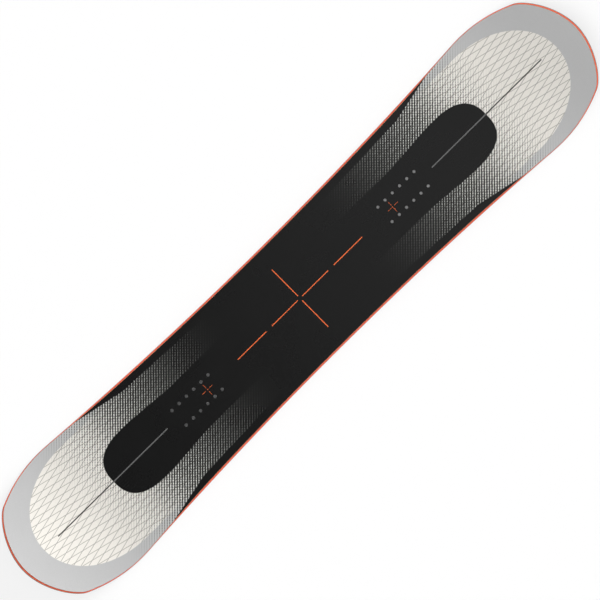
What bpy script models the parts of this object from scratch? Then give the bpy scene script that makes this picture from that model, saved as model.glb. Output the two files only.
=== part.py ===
# Twin-tip snowboard: a bare sandwich deck with its steel edges and threaded inserts.
#
# Metres, +Z up. +X runs along the board towards the nose and +Y across it to the heel side.
# The origin is under the middle of the board, on the snow. Every layer is built flat, as it
# is cut on the bench, and is then pressed: thinned with the core towards the ends and rolled
# up the nose and tail. The thin gap between layers is the resin bond line.

from math import asin, cos, pi, radians, sin

import bmesh
import bpy
from mathutils import Matrix, Vector

# Plan outline
CONTACT_LENGTH = 1.120          # running length between the two contact points
TIP_LENGTH = 0.2054             # nose and tail, each beyond its contact point
WAIST_WIDTH = 0.2514            # narrowest width, at the middle
SIDECUT_RADIUS = 8.24           # arc along each side between the contact points
SHOULDER_DROP = 0.0256          # how far each side comes in from contact point to corner
CORNER_SETBACK = 0.0611         # corner of the nose, measured back from its end
CORNER_ANGLE = radians(23.5)    # angle between the corner's tangent and the centre line
SHOULDER_PULL = 0.0595          # curve handle that leaves the sidecut
CORNER_PULL_BEFORE = 0.0433     # curve handle into the corner
CORNER_PULL_AFTER = 0.0245      # curve handle out of the corner
NOSE_PULL = 0.0551              # curve handle across the end of the nose

# Side profile
UPTURN_RADIUS = 0.55            # the tips roll up on this arc from the contact points
TAPER_INTO_TIP = 0.020          # the core reaches its thin end this far past a contact point

# Layers, from the snow up
BOND_LINE = 0.0003              # resin between any two neighbours
BASE_THICKNESS = 0.0012
RAIL_WIDTH = 0.0020             # steel that bites, seen from below
ANCHOR_WIDTH = 0.0045           # thin flange of the edge, held inside the laminate
ANCHOR_THICKNESS = 0.0006
FOIL_THICKNESS = 0.0002         # rubber strip over the steel
FOIL_MARGIN = 0.0002            # the foil stops this far short of the flange's inner edge
GLASS_THICKNESS = 0.0005
CORE_THICKNESS = 0.0060         # under the bindings and between them
TIP_CORE_THICKNESS = 0.0022     # at nose and tail
TOPSHEET_THICKNESS = 0.0006

# Sidewalls
EDGE_PROUD = 0.0004             # the steel stands this far outside the sidewall
SIDEWALL_SQUARE = 0.0015        # upright foot of the sidewall, under its bevel
BEVEL_SLOPE = 0.97              # inward run of the bevel for each unit of height
TIP_BEVEL = 0.0017              # extra run of the bevel at the very ends of the board
TIP_BEVEL_LEAD = 0.060          # the extra run starts this far before a contact point
TOP_SETBACK = 0.00025           # each layer above the sidewall starts this far further in

# Wood core
CORE_INTO_TIP = 0.070           # the wood ends this far past a contact point
INSERT_STRINGER_WIDTH = 0.024   # hard strip that holds a row of inserts
STRINGER_WIDTH = 0.020          # softer strips outside it; the outermost fills what is left
SIDE_STRINGERS = 4              # softer strips on each side

# Binding inserts
STANCE = 0.5706                 # between the middles of the two insert packs
INSERT_PITCH = 0.020            # along a row
ROW_SPACING = 0.040             # between the two rows
INSERTS_PER_ROW = 6
PLATFORM_MARGIN = 0.025         # full core thickness past the last insert
BARREL_DIAMETER = 0.0095
FLANGE_DIAMETER = 0.015
FLANGE_THICKNESS = 0.0012
THREAD_BORE = 0.005             # inside the M6 thread's crests
SCREW_OPENING = 0.0062          # cut in the topsheet over each insert, wider than the thread
INSERT_CLEARANCE = 0.0003       # round the insert, in every layer that it passes

# Facets
SIDECUT_STEPS = 9               # along half of the sidecut
SHOULDER_STEPS = 8              # contact point to corner
NOSE_STEPS = 7                  # corner to the end
INSERT_SIDES = 12
SMOOTH_ANGLE = radians(35)
FLAT_ANGLE = radians(0.02)      # faces that turn less than this are one face

# Places that follow from the sizes above
CONTACT = CONTACT_LENGTH / 2
TIP = CONTACT + TIP_LENGTH
CORE_END = CONTACT + CORE_INTO_TIP
TAPER_END = CONTACT + TAPER_INTO_TIP
ROW_HALF_LENGTH = (INSERTS_PER_ROW - 1) * INSERT_PITCH / 2
TAPER_START = STANCE / 2 + ROW_HALF_LENGTH + PLATFORM_MARGIN
TIP_BEVEL_START = CONTACT - TIP_BEVEL_LEAD

# Heights of the layers in the full-thickness middle
ANCHOR_BOTTOM = BASE_THICKNESS + BOND_LINE
EDGE_TOP = ANCHOR_BOTTOM + ANCHOR_THICKNESS
FOIL_BOTTOM = EDGE_TOP + BOND_LINE
FOIL_TOP = FOIL_BOTTOM + FOIL_THICKNESS
RIM_GLASS_BOTTOM = FOIL_TOP + BOND_LINE
RIM_GLASS_TOP = RIM_GLASS_BOTTOM + GLASS_THICKNESS
FIELD_GLASS_BOTTOM = BASE_THICKNESS + BOND_LINE
FIELD_GLASS_TOP = FIELD_GLASS_BOTTOM + GLASS_THICKNESS
SIDEWALL_BOTTOM = RIM_GLASS_TOP + BOND_LINE
BEVEL_BOTTOM = SIDEWALL_BOTTOM + SIDEWALL_SQUARE
CORE_BOTTOM = FIELD_GLASS_TOP + BOND_LINE
CORE_TOP = CORE_BOTTOM + CORE_THICKNESS
TOP_GLASS_BOTTOM = CORE_TOP + BOND_LINE
TOP_GLASS_TOP = TOP_GLASS_BOTTOM + GLASS_THICKNESS
TOPSHEET_BOTTOM = TOP_GLASS_TOP + BOND_LINE
TOPSHEET_TOP = TOPSHEET_BOTTOM + TOPSHEET_THICKNESS
FLANGE_TOP = CORE_BOTTOM + FLANGE_THICKNESS
INSERT_TOP = TOP_GLASS_TOP      # the barrel ends flush with the glass, under the topsheet

# How far inside the outline each layer's edge lies
BASE_INSET = RAIL_WIDTH + BOND_LINE
ANCHOR_INSET = RAIL_WIDTH + ANCHOR_WIDTH
FOIL_INSET = ANCHOR_INSET - FOIL_MARGIN
STEP_INSET = ANCHOR_INSET + BOND_LINE
SIDEWALL_INSET = STEP_INSET + GLASS_THICKNESS
CORE_INSET = SIDEWALL_INSET + BOND_LINE


def remaining_taper(along):
    """1 where the core is full, 0 where it has reached its tip thickness."""
    distance = abs(along)
    if distance <= TAPER_START:
        return 1.0
    if distance >= TAPER_END:
        return 0.0
    return 0.5 + 0.5 * cos(pi * (distance - TAPER_START) / (TAPER_END - TAPER_START))


def pressed_height(along, height):
    """A flat-built height after pressing: only what lies beside the core gets thinner."""
    lost = (CORE_THICKNESS - TIP_CORE_THICKNESS) * (1.0 - remaining_taper(along))
    share = (height - SIDEWALL_BOTTOM) / (CORE_TOP - SIDEWALL_BOTTOM)
    return height - lost * min(max(share, 0.0), 1.0)


def pressed(point):
    """Where a flat-built point ends up on the finished board."""
    along, across, height = point
    rise = pressed_height(along, height)
    past_contact = max(abs(along) - CONTACT, 0.0)
    tilt = asin(past_contact / UPTURN_RADIUS)
    direction = 1.0 if along > 0 else -1.0
    return Vector((
        along - direction * rise * sin(tilt),
        across,
        UPTURN_RADIUS * (1.0 - cos(tilt)) + rise * cos(tilt),
    ))


def curve_point(start, pull_start, pull_end, end, t):
    """Point and direction on a cubic curve between two points with handles."""
    s = 1.0 - t
    point = s**3 * start + 3 * s * s * t * pull_start + 3 * s * t * t * pull_end + t**3 * end
    along = s * s * (pull_start - start) + 2 * s * t * (pull_end - pull_start)
    return point, along + t * t * (end - pull_end)


def quarter_outline():
    """Points and outward normals from the waist to the end of the nose, on the +Y side."""
    trace = []
    arc = asin(CONTACT / SIDECUT_RADIUS)
    for step in range(SIDECUT_STEPS):
        angle = arc * step / SIDECUT_STEPS
        point = Vector((
            SIDECUT_RADIUS * sin(angle),
            WAIST_WIDTH / 2 + SIDECUT_RADIUS * (1.0 - cos(angle)),
        ))
        trace.append((point, Vector((cos(angle), sin(angle)))))
    contact_half_width = WAIST_WIDTH / 2 + SIDECUT_RADIUS * (1.0 - cos(arc))
    contact = Vector((CONTACT, contact_half_width))
    corner = Vector((TIP - CORNER_SETBACK, contact_half_width - SHOULDER_DROP))
    corner_direction = Vector((cos(CORNER_ANGLE), -sin(CORNER_ANGLE)))
    nose = Vector((TIP, 0.0))
    shoulder_handles = (
        contact + SHOULDER_PULL * Vector((cos(arc), sin(arc))),
        corner - CORNER_PULL_BEFORE * corner_direction,
    )
    nose_handles = (
        corner + CORNER_PULL_AFTER * corner_direction,
        nose + Vector((0.0, NOSE_PULL)),
    )
    for step in range(SHOULDER_STEPS):
        t = step / SHOULDER_STEPS
        trace.append(curve_point(contact, *shoulder_handles, corner, t))
    for step in range(NOSE_STEPS + 1):
        t = step / NOSE_STEPS
        trace.append(curve_point(corner, *nose_handles, nose, t))
    return [(point, Vector((-way.y, way.x)).normalized()) for point, way in trace]


def full_outline():
    """The quarter mirrored round the board, starting at the nose and going over +Y."""
    quarter = quarter_outline()
    there = quarter[::-1]
    back = quarter[1:-1]
    ring = [(1, 1, pair) for pair in there]
    ring += [(-1, 1, pair) for pair in back]
    ring += [(-1, -1, pair) for pair in there]
    ring += [(1, -1, pair) for pair in back]
    mirrored = []
    for side_x, side_y, (point, normal) in ring:
        flip = Vector((side_x, side_y))
        mirrored.append((point * flip, normal * flip))
    return mirrored


OUTLINE = full_outline()


def bevel_inset(along):
    """Inset of the sidewall's upper corner: less where the board is thin, more at the ends."""
    rise = pressed_height(along, CORE_TOP) - pressed_height(along, BEVEL_BOTTOM)
    into_end = max(abs(along) - TIP_BEVEL_START, 0.0) / (TIP - TIP_BEVEL_START)
    return EDGE_PROUD + BEVEL_SLOPE * rise + TIP_BEVEL * into_end**2


def top_glass_inset(along):
    return bevel_inset(along) + TOP_SETBACK


def topsheet_inset(along):
    return bevel_inset(along) + 2 * TOP_SETBACK


def ring_points(inset, height):
    """The outline moved inwards, by a size or by a rule along the board, at one height."""
    points = []
    for point, normal in OUTLINE:
        depth = inset(point.x) if callable(inset) else inset
        points.append(Vector((point.x - normal.x * depth, point.y - normal.y * depth, height)))
    return points


def loft(rings, hollow=False):
    """Skin a stack of (inset, height) rings, as a closed plate or as a closed hoop."""
    bm = bmesh.new()
    loops = [[bm.verts.new(p) for p in ring_points(*ring)] for ring in rings]
    count = len(OUTLINE)
    neighbours = list(zip(loops, loops[1:] + loops[:1]))
    if not hollow:
        neighbours.pop()
        for loop in (loops[0], loops[-1]):
            cap_plate(bm, loop)
    for lower, upper in neighbours:
        for i in range(count):
            j = (i + 1) % count
            bm.faces.new((lower[i], lower[j], upper[j], upper[i]))
    return bm


def cap_plate(bm, loop):
    """Close a plate with strips that run straight across the board."""
    count = len(loop)
    half = count // 2
    bm.faces.new((loop[0], loop[1], loop[count - 1]))
    for i in range(1, half - 1):
        bm.faces.new((loop[i], loop[i + 1], loop[count - i - 1], loop[count - i]))
    bm.faces.new((loop[half - 1], loop[half], loop[half + 1]))


def saw(bm, place, direction):
    """Cut off what lies beyond a plane and close the cut."""
    everything = bm.verts[:] + bm.edges[:] + bm.faces[:]
    cut = bmesh.ops.bisect_plane(
        bm, geom=everything, dist=1e-7, plane_co=place, plane_no=direction, clear_outer=True
    )
    rim = [item for item in cut["geom_cut"] if isinstance(item, bmesh.types.BMEdge)]
    bmesh.ops.holes_fill(bm, edges=rim, sides=0)


def keep_along(bm, low, high):
    saw(bm, (low, 0, 0), (-1, 0, 0))
    saw(bm, (high, 0, 0), (1, 0, 0))


def keep_across(bm, low, high):
    saw(bm, (0, low, 0), (0, -1, 0))
    saw(bm, (0, high, 0), (0, 1, 0))


def finish(name, colour, roughness, metallic=0.0):
    """A plain material in the part's own colour."""
    material = bpy.data.materials.new(name)
    material.use_nodes = True
    shader = material.node_tree.nodes["Principled BSDF"]
    shader.inputs["Base Color"].default_value = (*colour, 1.0)
    shader.inputs["Roughness"].default_value = roughness
    shader.inputs["Metallic"].default_value = metallic
    return material


def place_object(name, mesh, material):
    mesh.shade_smooth()
    mesh.set_sharp_from_angle(angle=SMOOTH_ANGLE)
    if not mesh.materials:
        mesh.materials.append(material)
    obj = bpy.data.objects.new(name, mesh)
    bpy.context.collection.objects.link(obj)
    return obj


def add_piece(name, bm, material):
    """Press a flat-built piece into shape and make it an object."""
    for vert in bm.verts:
        vert.co = pressed(vert.co)
    bmesh.ops.recalc_face_normals(bm, faces=bm.faces[:])
    bmesh.ops.dissolve_limit(bm, angle_limit=FLAT_ANGLE, verts=bm.verts[:], edges=bm.edges[:])
    mesh = bpy.data.meshes.new(name)
    bm.to_mesh(mesh)
    bm.free()
    return place_object(name, mesh, material)


def turned(profile):
    """A closed solid from a (radius, height) profile that starts and ends on the axis."""
    bm = bmesh.new()
    points = [bm.verts.new((radius, 0.0, height)) for radius, height in profile]
    edges = [bm.edges.new(pair) for pair in zip(points, points[1:])]
    bmesh.ops.spin(
        bm, geom=points + edges, cent=(0, 0, 0), axis=(0, 0, 1), angle=2 * pi,
        steps=INSERT_SIDES, use_merge=True,
    )
    bmesh.ops.remove_doubles(bm, verts=bm.verts[:], dist=1e-6)
    bmesh.ops.recalc_face_normals(bm, faces=bm.faces[:])
    bmesh.ops.dissolve_limit(bm, angle_limit=FLAT_ANGLE, verts=bm.verts[:], edges=bm.edges[:])
    return bm


def insert_places():
    """(name, x, y) of each insert, by pack, row and number from the middle of the board."""
    places = []
    for end, side_x in (("nose", 1), ("tail", -1)):
        for row, side_y in (("toe", -1), ("heel", 1)):
            for number in range(INSERTS_PER_ROW):
                x = side_x * (STANCE / 2 - ROW_HALF_LENGTH + number * INSERT_PITCH)
                places.append((f"insert_{end}_{row}_{number + 1}", x, side_y * ROW_SPACING / 2))
    return places


def make_bore_cutter():
    """All the clearance bores: flange and barrel in core and glass, screw opening on top."""
    opening_radius = SCREW_OPENING / 2
    bore_radius = BARREL_DIAMETER / 2 + INSERT_CLEARANCE
    counterbore_radius = FLANGE_DIAMETER / 2 + INSERT_CLEARANCE
    low = CORE_BOTTOM - BOND_LINE / 2
    shoulder = FLANGE_TOP + INSERT_CLEARANCE
    under_topsheet = TOPSHEET_BOTTOM - BOND_LINE / 2
    high = TOPSHEET_TOP + BARREL_DIAMETER
    single = turned((
        (0.0, low), (counterbore_radius, low), (counterbore_radius, shoulder),
        (bore_radius, shoulder), (bore_radius, under_topsheet),
        (opening_radius, under_topsheet), (opening_radius, high), (0.0, high),
    ))
    pattern = bmesh.new()
    one = bpy.data.meshes.new("one_bore")
    single.to_mesh(one)
    single.free()
    for _, x, y in insert_places():
        before = len(pattern.verts)
        pattern.from_mesh(one)
        pattern.verts.ensure_lookup_table()
        bmesh.ops.transform(pattern, matrix=Matrix.Translation((x, y, 0)), verts=pattern.verts[before:])
    mesh = bpy.data.meshes.new("insert_bores")
    pattern.to_mesh(mesh)
    pattern.free()
    bpy.data.meshes.remove(one)
    cutter = bpy.data.objects.new("insert_bores", mesh)
    bpy.context.collection.objects.link(cutter)
    cutter.hide_render = True
    cutter.display_type = "WIRE"
    return cutter


def bore_out(obj, cutter):
    hole = obj.modifiers.new("insert_bores", "BOOLEAN")
    hole.operation = "DIFFERENCE"
    hole.solver = "EXACT"
    hole.object = cutter


def half_of(bm, side_y):
    """One side of a hoop, cut at the middle of the nose and of the tail."""
    saw(bm, (0, side_y * BOND_LINE / 2, 0), (0, -side_y, 0))


def make_base():
    """Running base between the steel edges."""
    polyethylene = finish("black_running_base", (0.03, 0.03, 0.032), 0.42)
    bm = loft([(BASE_INSET, 0.0), (BASE_INSET, BASE_THICKNESS)])
    add_piece("base_sheet", bm, polyethylene)


def make_edges():
    """Steel rail with its thin anchor flange, bent round each side to meet at both tips."""
    steel = finish("ground_steel_edge", (0.55, 0.56, 0.57), 0.3, 1.0)
    section = [
        (0.0, 0.0), (0.0, EDGE_TOP), (ANCHOR_INSET, EDGE_TOP),
        (ANCHOR_INSET, ANCHOR_BOTTOM), (RAIL_WIDTH, ANCHOR_BOTTOM), (RAIL_WIDTH, 0.0),
    ]
    for name, side_y in (("steel_edge_toe", -1), ("steel_edge_heel", 1)):
        bm = loft(section, hollow=True)
        half_of(bm, side_y)
        add_piece(name, bm, steel)


def make_foils():
    """Rubber strip that cushions the steel against the glass, one on each side."""
    rubber = finish("black_edge_rubber", (0.02, 0.02, 0.02), 0.8)
    section = [
        (EDGE_PROUD, FOIL_BOTTOM), (EDGE_PROUD, FOIL_TOP),
        (FOIL_INSET, FOIL_TOP), (FOIL_INSET, FOIL_BOTTOM),
    ]
    for name, side_y in (("edge_foil_toe", -1), ("edge_foil_heel", 1)):
        bm = loft(section, hollow=True)
        half_of(bm, side_y)
        add_piece(name, bm, rubber)


def make_glass(cutter):
    """Lower sheet stepped down inside the edge's flange, and flat upper sheet."""
    laminate = finish("glass_laminate", (0.62, 0.56, 0.4), 0.35)
    lower = loft([
        (STEP_INSET, FIELD_GLASS_BOTTOM), (STEP_INSET, RIM_GLASS_BOTTOM),
        (EDGE_PROUD, RIM_GLASS_BOTTOM), (EDGE_PROUD, RIM_GLASS_TOP),
        (SIDEWALL_INSET, RIM_GLASS_TOP), (SIDEWALL_INSET, FIELD_GLASS_TOP),
    ])
    add_piece("bottom_glass", lower, laminate)
    upper = loft([(top_glass_inset, TOP_GLASS_BOTTOM), (top_glass_inset, TOP_GLASS_TOP)])
    bore_out(add_piece("top_glass", upper, laminate), cutter)


def make_core(cutter):
    """Upright wood strips side by side, cut from the core's outline."""
    softwood = finish("poplar_strip", (0.72, 0.56, 0.36), 0.6)
    hardwood = finish("beech_strip", (0.62, 0.4, 0.24), 0.55)
    row = ROW_SPACING / 2
    inner = row - INSERT_STRINGER_WIDTH / 2
    outer = row + INSERT_STRINGER_WIDTH / 2
    glue = BOND_LINE / 2
    strips = [("core_centre_stringer", -inner, inner, softwood)]
    for side, side_y in (("toe", -1), ("heel", 1)):
        strips.append((f"core_{side}_insert_stringer", side_y * inner, side_y * outer, hardwood))
        for number in range(SIDE_STRINGERS):
            near = outer + number * STRINGER_WIDTH
            outermost = number == SIDE_STRINGERS - 1
            far = WAIST_WIDTH if outermost else near + STRINGER_WIDTH
            strips.append((f"core_{side}_stringer_{number + 1}", side_y * near, side_y * far, softwood))
    for name, first, second, wood in strips:
        bm = loft([(CORE_INSET, CORE_BOTTOM), (CORE_INSET, CORE_TOP)])
        keep_along(bm, -CORE_END, CORE_END)
        keep_across(bm, min(first, second) + glue, max(first, second) - glue)
        obj = add_piece(name, bm, wood)
        if wood is hardwood:
            bore_out(obj, cutter)


def make_sidewalls():
    """Bevelled strip along each side, on the rim of the lower glass."""
    plastic = finish("orange_sidewall", (0.78, 0.16, 0.07), 0.4)
    section = [
        (EDGE_PROUD, SIDEWALL_BOTTOM), (EDGE_PROUD, BEVEL_BOTTOM), (bevel_inset, CORE_TOP),
        (SIDEWALL_INSET, CORE_TOP), (SIDEWALL_INSET, SIDEWALL_BOTTOM),
    ]
    for name, side_y in (("sidewall_toe", -1), ("sidewall_heel", 1)):
        bm = loft(section, hollow=True)
        half_of(bm, side_y)
        keep_along(bm, -CORE_END, CORE_END)
        add_piece(name, bm, plastic)


def make_tip_spacers():
    """Filler beyond the wood at nose and tail, with the sidewall's outer form."""
    plastic = finish("orange_tip_spacer", (0.78, 0.16, 0.07), 0.4)
    rings = [
        (CORE_INSET, CORE_BOTTOM), (CORE_INSET, SIDEWALL_BOTTOM), (EDGE_PROUD, SIDEWALL_BOTTOM),
        (EDGE_PROUD, BEVEL_BOTTOM), (bevel_inset, CORE_TOP),
    ]
    for name, side_x in (("tip_spacer_nose", 1), ("tip_spacer_tail", -1)):
        bm = loft(rings)
        saw(bm, (side_x * (CORE_END + BOND_LINE), 0, 0), (-side_x, 0, 0))
        add_piece(name, bm, plastic)


def make_topsheet(cutter):
    """Printed face of the board, opened over each insert's thread."""
    printed = finish("printed_topsheet", (0.045, 0.045, 0.045), 0.3)
    bm = loft([(topsheet_inset, TOPSHEET_BOTTOM), (topsheet_inset, TOPSHEET_TOP)])
    bore_out(add_piece("topsheet", bm, printed), cutter)


def make_inserts():
    """Flanged threaded inserts, blind at the flange, one mesh shared by all of them."""
    stainless = finish("stainless_insert", (0.72, 0.72, 0.72), 0.25, 1.0)
    bm = turned((
        (0.0, CORE_BOTTOM), (FLANGE_DIAMETER / 2, CORE_BOTTOM), (FLANGE_DIAMETER / 2, FLANGE_TOP),
        (BARREL_DIAMETER / 2, FLANGE_TOP), (BARREL_DIAMETER / 2, INSERT_TOP),
        (THREAD_BORE / 2, INSERT_TOP), (THREAD_BORE / 2, FLANGE_TOP), (0.0, FLANGE_TOP),
    ))
    mesh = bpy.data.meshes.new("threaded_insert")
    bm.to_mesh(mesh)
    bm.free()
    for name, x, y in insert_places():
        obj = place_object(name, mesh, stainless)
        obj.location = (x, y, 0.0)


def main():
    for obj in list(bpy.data.objects):
        bpy.data.objects.remove(obj, do_unlink=True)
    cutter = make_bore_cutter()
    make_base()
    make_edges()
    make_foils()
    make_glass(cutter)
    make_core(cutter)
    make_sidewalls()
    make_tip_spacers()
    make_topsheet(cutter)
    make_inserts()


main()
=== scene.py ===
# Twin-tip snowboard, bare and new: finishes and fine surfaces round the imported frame.
# Metres and +Z up, as in the frame: +X runs to the nose, +Y to the heel side.

from math import asin, cos, pi, radians, sin, tan

import bmesh
import bpy
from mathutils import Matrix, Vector


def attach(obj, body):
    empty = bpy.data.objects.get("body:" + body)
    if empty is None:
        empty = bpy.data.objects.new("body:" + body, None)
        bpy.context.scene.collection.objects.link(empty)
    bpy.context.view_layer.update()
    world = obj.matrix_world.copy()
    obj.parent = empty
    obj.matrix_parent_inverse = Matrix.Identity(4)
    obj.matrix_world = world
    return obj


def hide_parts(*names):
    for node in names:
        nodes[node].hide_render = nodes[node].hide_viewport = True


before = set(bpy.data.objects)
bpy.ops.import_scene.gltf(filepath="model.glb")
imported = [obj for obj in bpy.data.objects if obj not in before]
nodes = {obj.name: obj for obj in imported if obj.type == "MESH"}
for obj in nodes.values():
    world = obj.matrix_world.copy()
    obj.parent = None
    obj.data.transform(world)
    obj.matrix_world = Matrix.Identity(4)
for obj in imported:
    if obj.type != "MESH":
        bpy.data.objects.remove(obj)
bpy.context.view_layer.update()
print("frame loaded:", len(nodes), "nodes")

mm = 0.001


# Outline of the board, seen from above

outline = {
    "contactLength": 1.120,
    "tipLength": 0.2054,
    "waistWidth": 0.2514,
    "sidecutRadius": 8.24,
    "shoulderDrop": 0.0256,
    "cornerSetback": 0.0611,
    "cornerAngle": radians(23.5),
    "shoulderPull": 0.0595,
    "cornerPullBefore": 0.0433,
    "cornerPullAfter": 0.0245,
    "nosePull": 0.0551,
    "sidecutSteps": 28,
    "shoulderSteps": 30,
    "noseSteps": 34,
}
contact = outline["contactLength"] / 2
tip = contact + outline["tipLength"]
boardEnds = (("nose", 1), ("tail", -1))
boardSides = (("toe", -1), ("heel", 1))


def curvePoint(start, pullStart, pullEnd, end, t):
    s = 1 - t
    point = s**3 * start + 3 * s * s * t * pullStart + 3 * s * t * t * pullEnd + t**3 * end
    way = s * s * (pullStart - start) + 2 * s * t * (pullEnd - pullStart) + t * t * (end - pullEnd)
    return point, way


def quarterOutline():
    # waist to nose on the +Y side: the sidecut's arc, then one curve to the corner, one to the end
    trace = []
    radius = outline["sidecutRadius"]
    arc = asin(contact / radius)
    halfWaist = outline["waistWidth"] / 2
    for step in range(outline["sidecutSteps"]):
        angle = arc * step / outline["sidecutSteps"]
        point = Vector((radius * sin(angle), halfWaist + radius * (1 - cos(angle))))
        trace.append((point, Vector((cos(angle), sin(angle)))))
    halfWidth = halfWaist + radius * (1 - cos(arc))
    leave = Vector((contact, halfWidth))
    corner = Vector((tip - outline["cornerSetback"], halfWidth - outline["shoulderDrop"]))
    cornerWay = Vector((cos(outline["cornerAngle"]), -sin(outline["cornerAngle"])))
    end = Vector((tip, 0))
    shoulder = (leave, leave + outline["shoulderPull"] * Vector((cos(arc), sin(arc))),
                corner - outline["cornerPullBefore"] * cornerWay, corner)
    nose = (corner, corner + outline["cornerPullAfter"] * cornerWay,
            end + Vector((0, outline["nosePull"])), end)
    for step in range(outline["shoulderSteps"]):
        trace.append(curvePoint(*shoulder, step / outline["shoulderSteps"]))
    for step in range(outline["noseSteps"] + 1):
        trace.append(curvePoint(*nose, step / outline["noseSteps"]))
    return [(point, Vector((-way.y, way.x)).normalized()) for point, way in trace]


def fullOutline():
    # the quarter mirrored round the board, from the nose over the +Y side
    quarter = quarterOutline()
    there, back = quarter[::-1], quarter[1:-1]
    ring = []
    for flip, part in (((1, 1), there), ((-1, 1), back), ((-1, -1), there), ((1, -1), back)):
        flip = Vector(flip)
        ring += [(point * flip, normal * flip) for point, normal in part]
    return ring


rim = fullOutline()


# Layers and the press: the core thins towards the ends, and both tips roll up on an arc

layers = {
    "bond": 0.3 * mm,
    "base": 1.2 * mm,
    "anchor": 0.6 * mm,
    "foil": 0.2 * mm,
    "glass": 0.5 * mm,
    "core": 6.0 * mm,
    "tipCore": 2.2 * mm,
    "topsheet": 0.6 * mm,
    "upturnRadius": 0.55,
    "taperStart": 0.3603,
    "taperEnd": 0.580,
    "coreEnd": 0.630,
    "edgeProud": 0.4 * mm,
    "bevelFoot": 1.5 * mm,
    "bevelSlope": 0.97,
    "tipBevel": 1.7 * mm,       # the bevel is cut this much wider at the very ends
    "tipBevelStart": 0.500,
    "topSetback": 0.25 * mm,
}
bond = layers["bond"]
anchorBottom = layers["base"] + bond
edgeTop = anchorBottom + layers["anchor"]
foilBottom = edgeTop + bond
foilTop = foilBottom + layers["foil"]
rimGlassBottom = foilTop + bond
rimGlassTop = rimGlassBottom + layers["glass"]
sidewallBottom = rimGlassTop + bond
bevelBottom = sidewallBottom + layers["bevelFoot"]
coreBottom = layers["base"] + 2 * bond + layers["glass"]
coreTop = coreBottom + layers["core"]
topGlassBottom = coreTop + bond
topGlassTop = topGlassBottom + layers["glass"]
topsheetBottom = topGlassTop + bond
topsheetTop = topsheetBottom + layers["topsheet"]


def pressedHeight(along, height):
    start, end = layers["taperStart"], layers["taperEnd"]
    reach = min(max((abs(along) - start) / (end - start), 0), 1)
    thinned = (layers["core"] - layers["tipCore"]) * (0.5 - 0.5 * cos(pi * reach))
    share = (height - sidewallBottom) / (coreTop - sidewallBottom)
    return height - thinned * min(max(share, 0), 1)


def pressed(point):
    along, across, height = point
    rise = pressedHeight(along, height)
    tilt = asin(max(abs(along) - contact, 0) / layers["upturnRadius"])
    way = 1 if along > 0 else -1
    lifted = layers["upturnRadius"] * (1 - cos(tilt)) + rise * cos(tilt)
    return Vector((along - way * rise * sin(tilt), across, lifted))


def bevelInset(along):
    # the milled face runs inwards less where the board is thin, and more round the ends
    rise = pressedHeight(along, coreTop) - pressedHeight(along, bevelBottom)
    intoEnd = max(abs(along) - layers["tipBevelStart"], 0) / (tip - layers["tipBevelStart"])
    return layers["edgeProud"] + layers["bevelSlope"] * rise + layers["tipBevel"] * intoEnd**2


# Mesh helpers

def roundedSection(corners, closed, steps=3):
    # each corner is (inset, height, radius); a radius of 0 stays sharp
    made = []
    count = len(corners)
    for i, (inset, height, radius) in enumerate(corners):
        here = Vector((inset, height))
        if not radius or (not closed and i in (0, count - 1)):
            made.append(here)
            continue
        toBack = (Vector(corners[i - 1][:2]) - here).normalized()
        toNext = (Vector(corners[(i + 1) % count][:2]) - here).normalized()
        half = toBack.angle(toNext) / 2
        centre = here + (toBack + toNext).normalized() * radius / sin(half)
        first = here + toBack * radius / tan(half) - centre
        last = here + toNext * radius / tan(half) - centre
        for step in range(steps + 1):
            made.append(centre + radius * first.slerp(last, step / steps))
    return made


def skin(sectionAt, hollow=False):
    # sweeps a section of (inset, height) corners along the outline, as a plate or a closed hoop
    sections = [sectionAt(point.x) for point, normal in rim]
    bm = bmesh.new()
    loops = []
    for k in range(len(sections[0])):
        loop = []
        for (point, normal), section in zip(rim, sections):
            inset, height = section[k]
            spot = point - normal * inset
            loop.append(bm.verts.new((spot.x, spot.y, height)))
        loops.append(loop)
    if not hollow:
        capPlate(bm, loops[0])
        capPlate(bm, loops[-1])
    joinLoops(bm, loops)
    if hollow:
        joinLoops(bm, (loops[-1], loops[0]))
    return bm


def joinLoops(bm, loops):
    # a band of four-sided faces from each ring to the next
    count = len(loops[0])
    for lower, upper in zip(loops, loops[1:]):
        for i in range(count):
            j = (i + 1) % count
            bm.faces.new((lower[i], lower[j], upper[j], upper[i]))


def capPlate(bm, loop):
    # strips straight across the board, so that they bend only with the roll of the tips
    count = len(loop)
    bm.faces.new((loop[0], loop[1], loop[-1]))
    for i in range(1, count // 2 - 1):
        bm.faces.new((loop[i], loop[i + 1], loop[count - i - 1], loop[count - i]))
    bm.faces.new((loop[count // 2 - 1], loop[count // 2], loop[count // 2 + 1]))


def turnedLoop(bm, radii, height, x=0, y=0):
    # one ring of a turned shape, with a radius for each of its corners
    sides = len(radii)
    loop = []
    for k, radius in enumerate(radii):
        angle = 2 * pi * k / sides
        loop.append(bm.verts.new((x + radius * cos(angle), y + radius * sin(angle), height)))
    return loop


def saw(bm, spot, direction):
    everything = bm.verts[:] + bm.edges[:] + bm.faces[:]
    cut = bmesh.ops.bisect_plane(bm, geom=everything, dist=1e-7, plane_co=spot,
                                 plane_no=direction, clear_outer=True)
    edges = [item for item in cut["geom_cut"] if isinstance(item, bmesh.types.BMEdge)]
    bmesh.ops.holes_fill(bm, edges=edges, sides=0)


def halfOf(bm, sideY):
    saw(bm, (0, sideY * bond / 2, 0), (0, -sideY, 0))


def meshFrom(bm, name):
    mesh = bpy.data.meshes.new(name)
    bm.to_mesh(mesh)
    bm.free()
    return mesh


def shade(mesh):
    mesh.shade_smooth()
    mesh.set_sharp_from_angle(angle=radians(35))


def addObject(name, data):
    thing = bpy.data.objects.new(name, data)
    bpy.context.collection.objects.link(thing)
    return thing


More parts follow.
